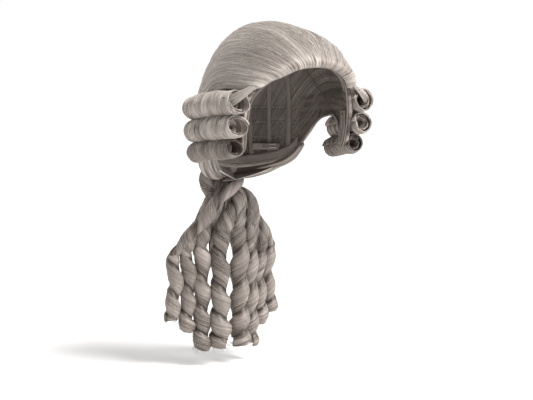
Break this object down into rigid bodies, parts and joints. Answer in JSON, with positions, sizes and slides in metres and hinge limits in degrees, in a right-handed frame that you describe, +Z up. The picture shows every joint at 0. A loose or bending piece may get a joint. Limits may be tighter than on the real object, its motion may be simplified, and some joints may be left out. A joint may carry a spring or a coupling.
{
  "type": "costume wig",
  "caption": "Eighteenth-century style court wig: swept-back hair on a net cap, stacked side rolls, and a gathered tail of hanging spiral ringlets.",
  "frame": {"origin": "middle of the head opening, level with the ear lobes", "axes": "+Z up through the crown, -Y out of the face opening, +X to the wearer's left"},
  "size_m": [0.215, 0.2178, 0.394],
  "materials": {
    "hair": "silver-grey synthetic fibre with a soft satin sheen",
    "hair_dark": "shaded grey fibre sewn in rows",
    "net": "brown-grey stretch net",
    "band": "woven elastic and binding tape",
    "thread": "dark covered elastic and thread",
    "steel": "small flat stay and bent wire hook"
  },
  "bodies": {
    "cap": {"crown_net_cap": "net", "front_hem_band": "band", "nape_elastic_band": "band", "ear_tab_right": "band", "ear_tab_stay_right": "steel", "ear_tab_left": "band", "ear_tab_stay_left": "steel", "weft_row_1": "hair_dark", "weft_row_2": "hair_dark", "weft_row_3": "hair_dark", "weft_row_4": "hair_dark", "front_hair": "hair", "right_side_hair": "hair", "roll_base_right": "hair_dark", "left_side_hair": "hair", "roll_base_left": "hair_dark", "crown_hair": "hair", "back_hair": "hair", "nape_hair_left": "hair", "nape_hair_right": "hair", "side_roll_right_1": "hair", "roll_stitch_right_1": "thread", "side_roll_right_2": "hair", "roll_stitch_right_2": "thread", "side_roll_right_3": "hair", "roll_stitch_right_3": "thread", "side_roll_left_1": "hair", "roll_stitch_left_1": "thread", "side_roll_left_2": "hair", "roll_stitch_left_2": "thread", "side_roll_left_3": "hair", "roll_stitch_left_3": "thread", "adjuster_pocket_tape_right": "band", "adjuster_strap_right": "net", "adjuster_pocket_tape_left": "band", "adjuster_strap_left": "net", "tail_neck": "hair", "nape_swathe_right": "hair", "nape_swathe_left": "hair"},
    "tie": {"elastic_hair_tie": "thread"},
    "tail": {"tail_gather": "hair", "tail_lock_right_1": "hair", "tail_lock_right_2": "hair", "tail_lock_right_3": "hair", "tail_lock_right_4": "hair", "tail_lock_left_1": "hair", "tail_lock_left_2": "hair", "tail_lock_left_3": "hair", "tail_lock_left_4": "hair", "loop_lock_right": "hair"},
    "ringlet_right_1": {"ringlet_right_1": "hair"},
    "ringlet_right_2": {"ringlet_right_2": "hair"},
    "ringlet_right_3": {"ringlet_right_3": "hair"},
    "ringlet_right_4": {"ringlet_right_4": "hair"},
    "adjuster_hook_right": {"adjuster_hook_right": "steel"},
    "ringlet_left_1": {"ringlet_left_1": "hair"},
    "ringlet_left_2": {"ringlet_left_2": "hair"},
    "ringlet_left_3": {"ringlet_left_3": "hair"},
    "ringlet_left_4": {"ringlet_left_4": "hair"},
    "adjuster_hook_left": {"adjuster_hook_left": "steel"}
  },
  "joints": [
    {"name": "tail_sway", "type": "hinge", "parent": "cap", "child": "tie", "pos_m": [0, 0.114, -0.032], "axis": [0, 1, 0], "range_deg": [-15, 15]},
    {"name": "tail_swing", "type": "hinge", "parent": "tie", "child": "tail", "pos_m": [0, 0.114, -0.032], "axis": [1, 0, 0], "range_deg": [-5, 25]},
    {"name": "ringlet_right_1_swing", "type": "hinge", "parent": "tail", "child": "ringlet_right_1", "pos_m": [-0.0134, 0.1065, -0.096], "axis": [1, 0, 0], "range_deg": [-8, 30]},
    {"name": "ringlet_right_2_swing", "type": "hinge", "parent": "tail", "child": "ringlet_right_2", "pos_m": [-0.034, 0.1155, -0.116], "axis": [1, 0, 0], "range_deg": [-8, 30]},
    {"name": "ringlet_right_3_swing", "type": "hinge", "parent": "tail", "child": "ringlet_right_3", "pos_m": [-0.0518, 0.1205, -0.124], "axis": [1, 0, 0], "range_deg": [-8, 30]},
    {"name": "ringlet_right_4_swing", "type": "hinge", "parent": "tail", "child": "ringlet_right_4", "pos_m": [-0.0686, 0.125, -0.127], "axis": [1, 0, 0], "range_deg": [-8, 30]},
    {"name": "adjuster_hook_right_slide", "type": "slide", "parent": "cap", "child": "adjuster_hook_right", "axis": [0.8081, 0.5891, 0], "range_m": [0, 0.016]},
    {"name": "ringlet_left_1_swing", "type": "hinge", "parent": "tail", "child": "ringlet_left_1", "pos_m": [0.0134, 0.1065, -0.096], "axis": [1, 0, 0], "range_deg": [-8, 30]},
    {"name": "ringlet_left_2_swing", "type": "hinge", "parent": "tail", "child": "ringlet_left_2", "pos_m": [0.034, 0.1155, -0.116], "axis": [1, 0, 0], "range_deg": [-8, 30]},
    {"name": "ringlet_left_3_swing", "type": "hinge", "parent": "tail", "child": "ringlet_left_3", "pos_m": [0.0518, 0.1205, -0.124], "axis": [1, 0, 0], "range_deg": [-8, 30]},
    {"name": "ringlet_left_4_swing", "type": "hinge", "parent": "tail", "child": "ringlet_left_4", "pos_m": [0.0686, 0.125, -0.127], "axis": [1, 0, 0], "range_deg": [-8, 30]},
    {"name": "adjuster_hook_left_slide", "type": "slide", "parent": "cap", "child": "adjuster_hook_left", "axis": [-0.8081, 0.5891, 0], "range_m": [0, 0.016]}
  ]
}
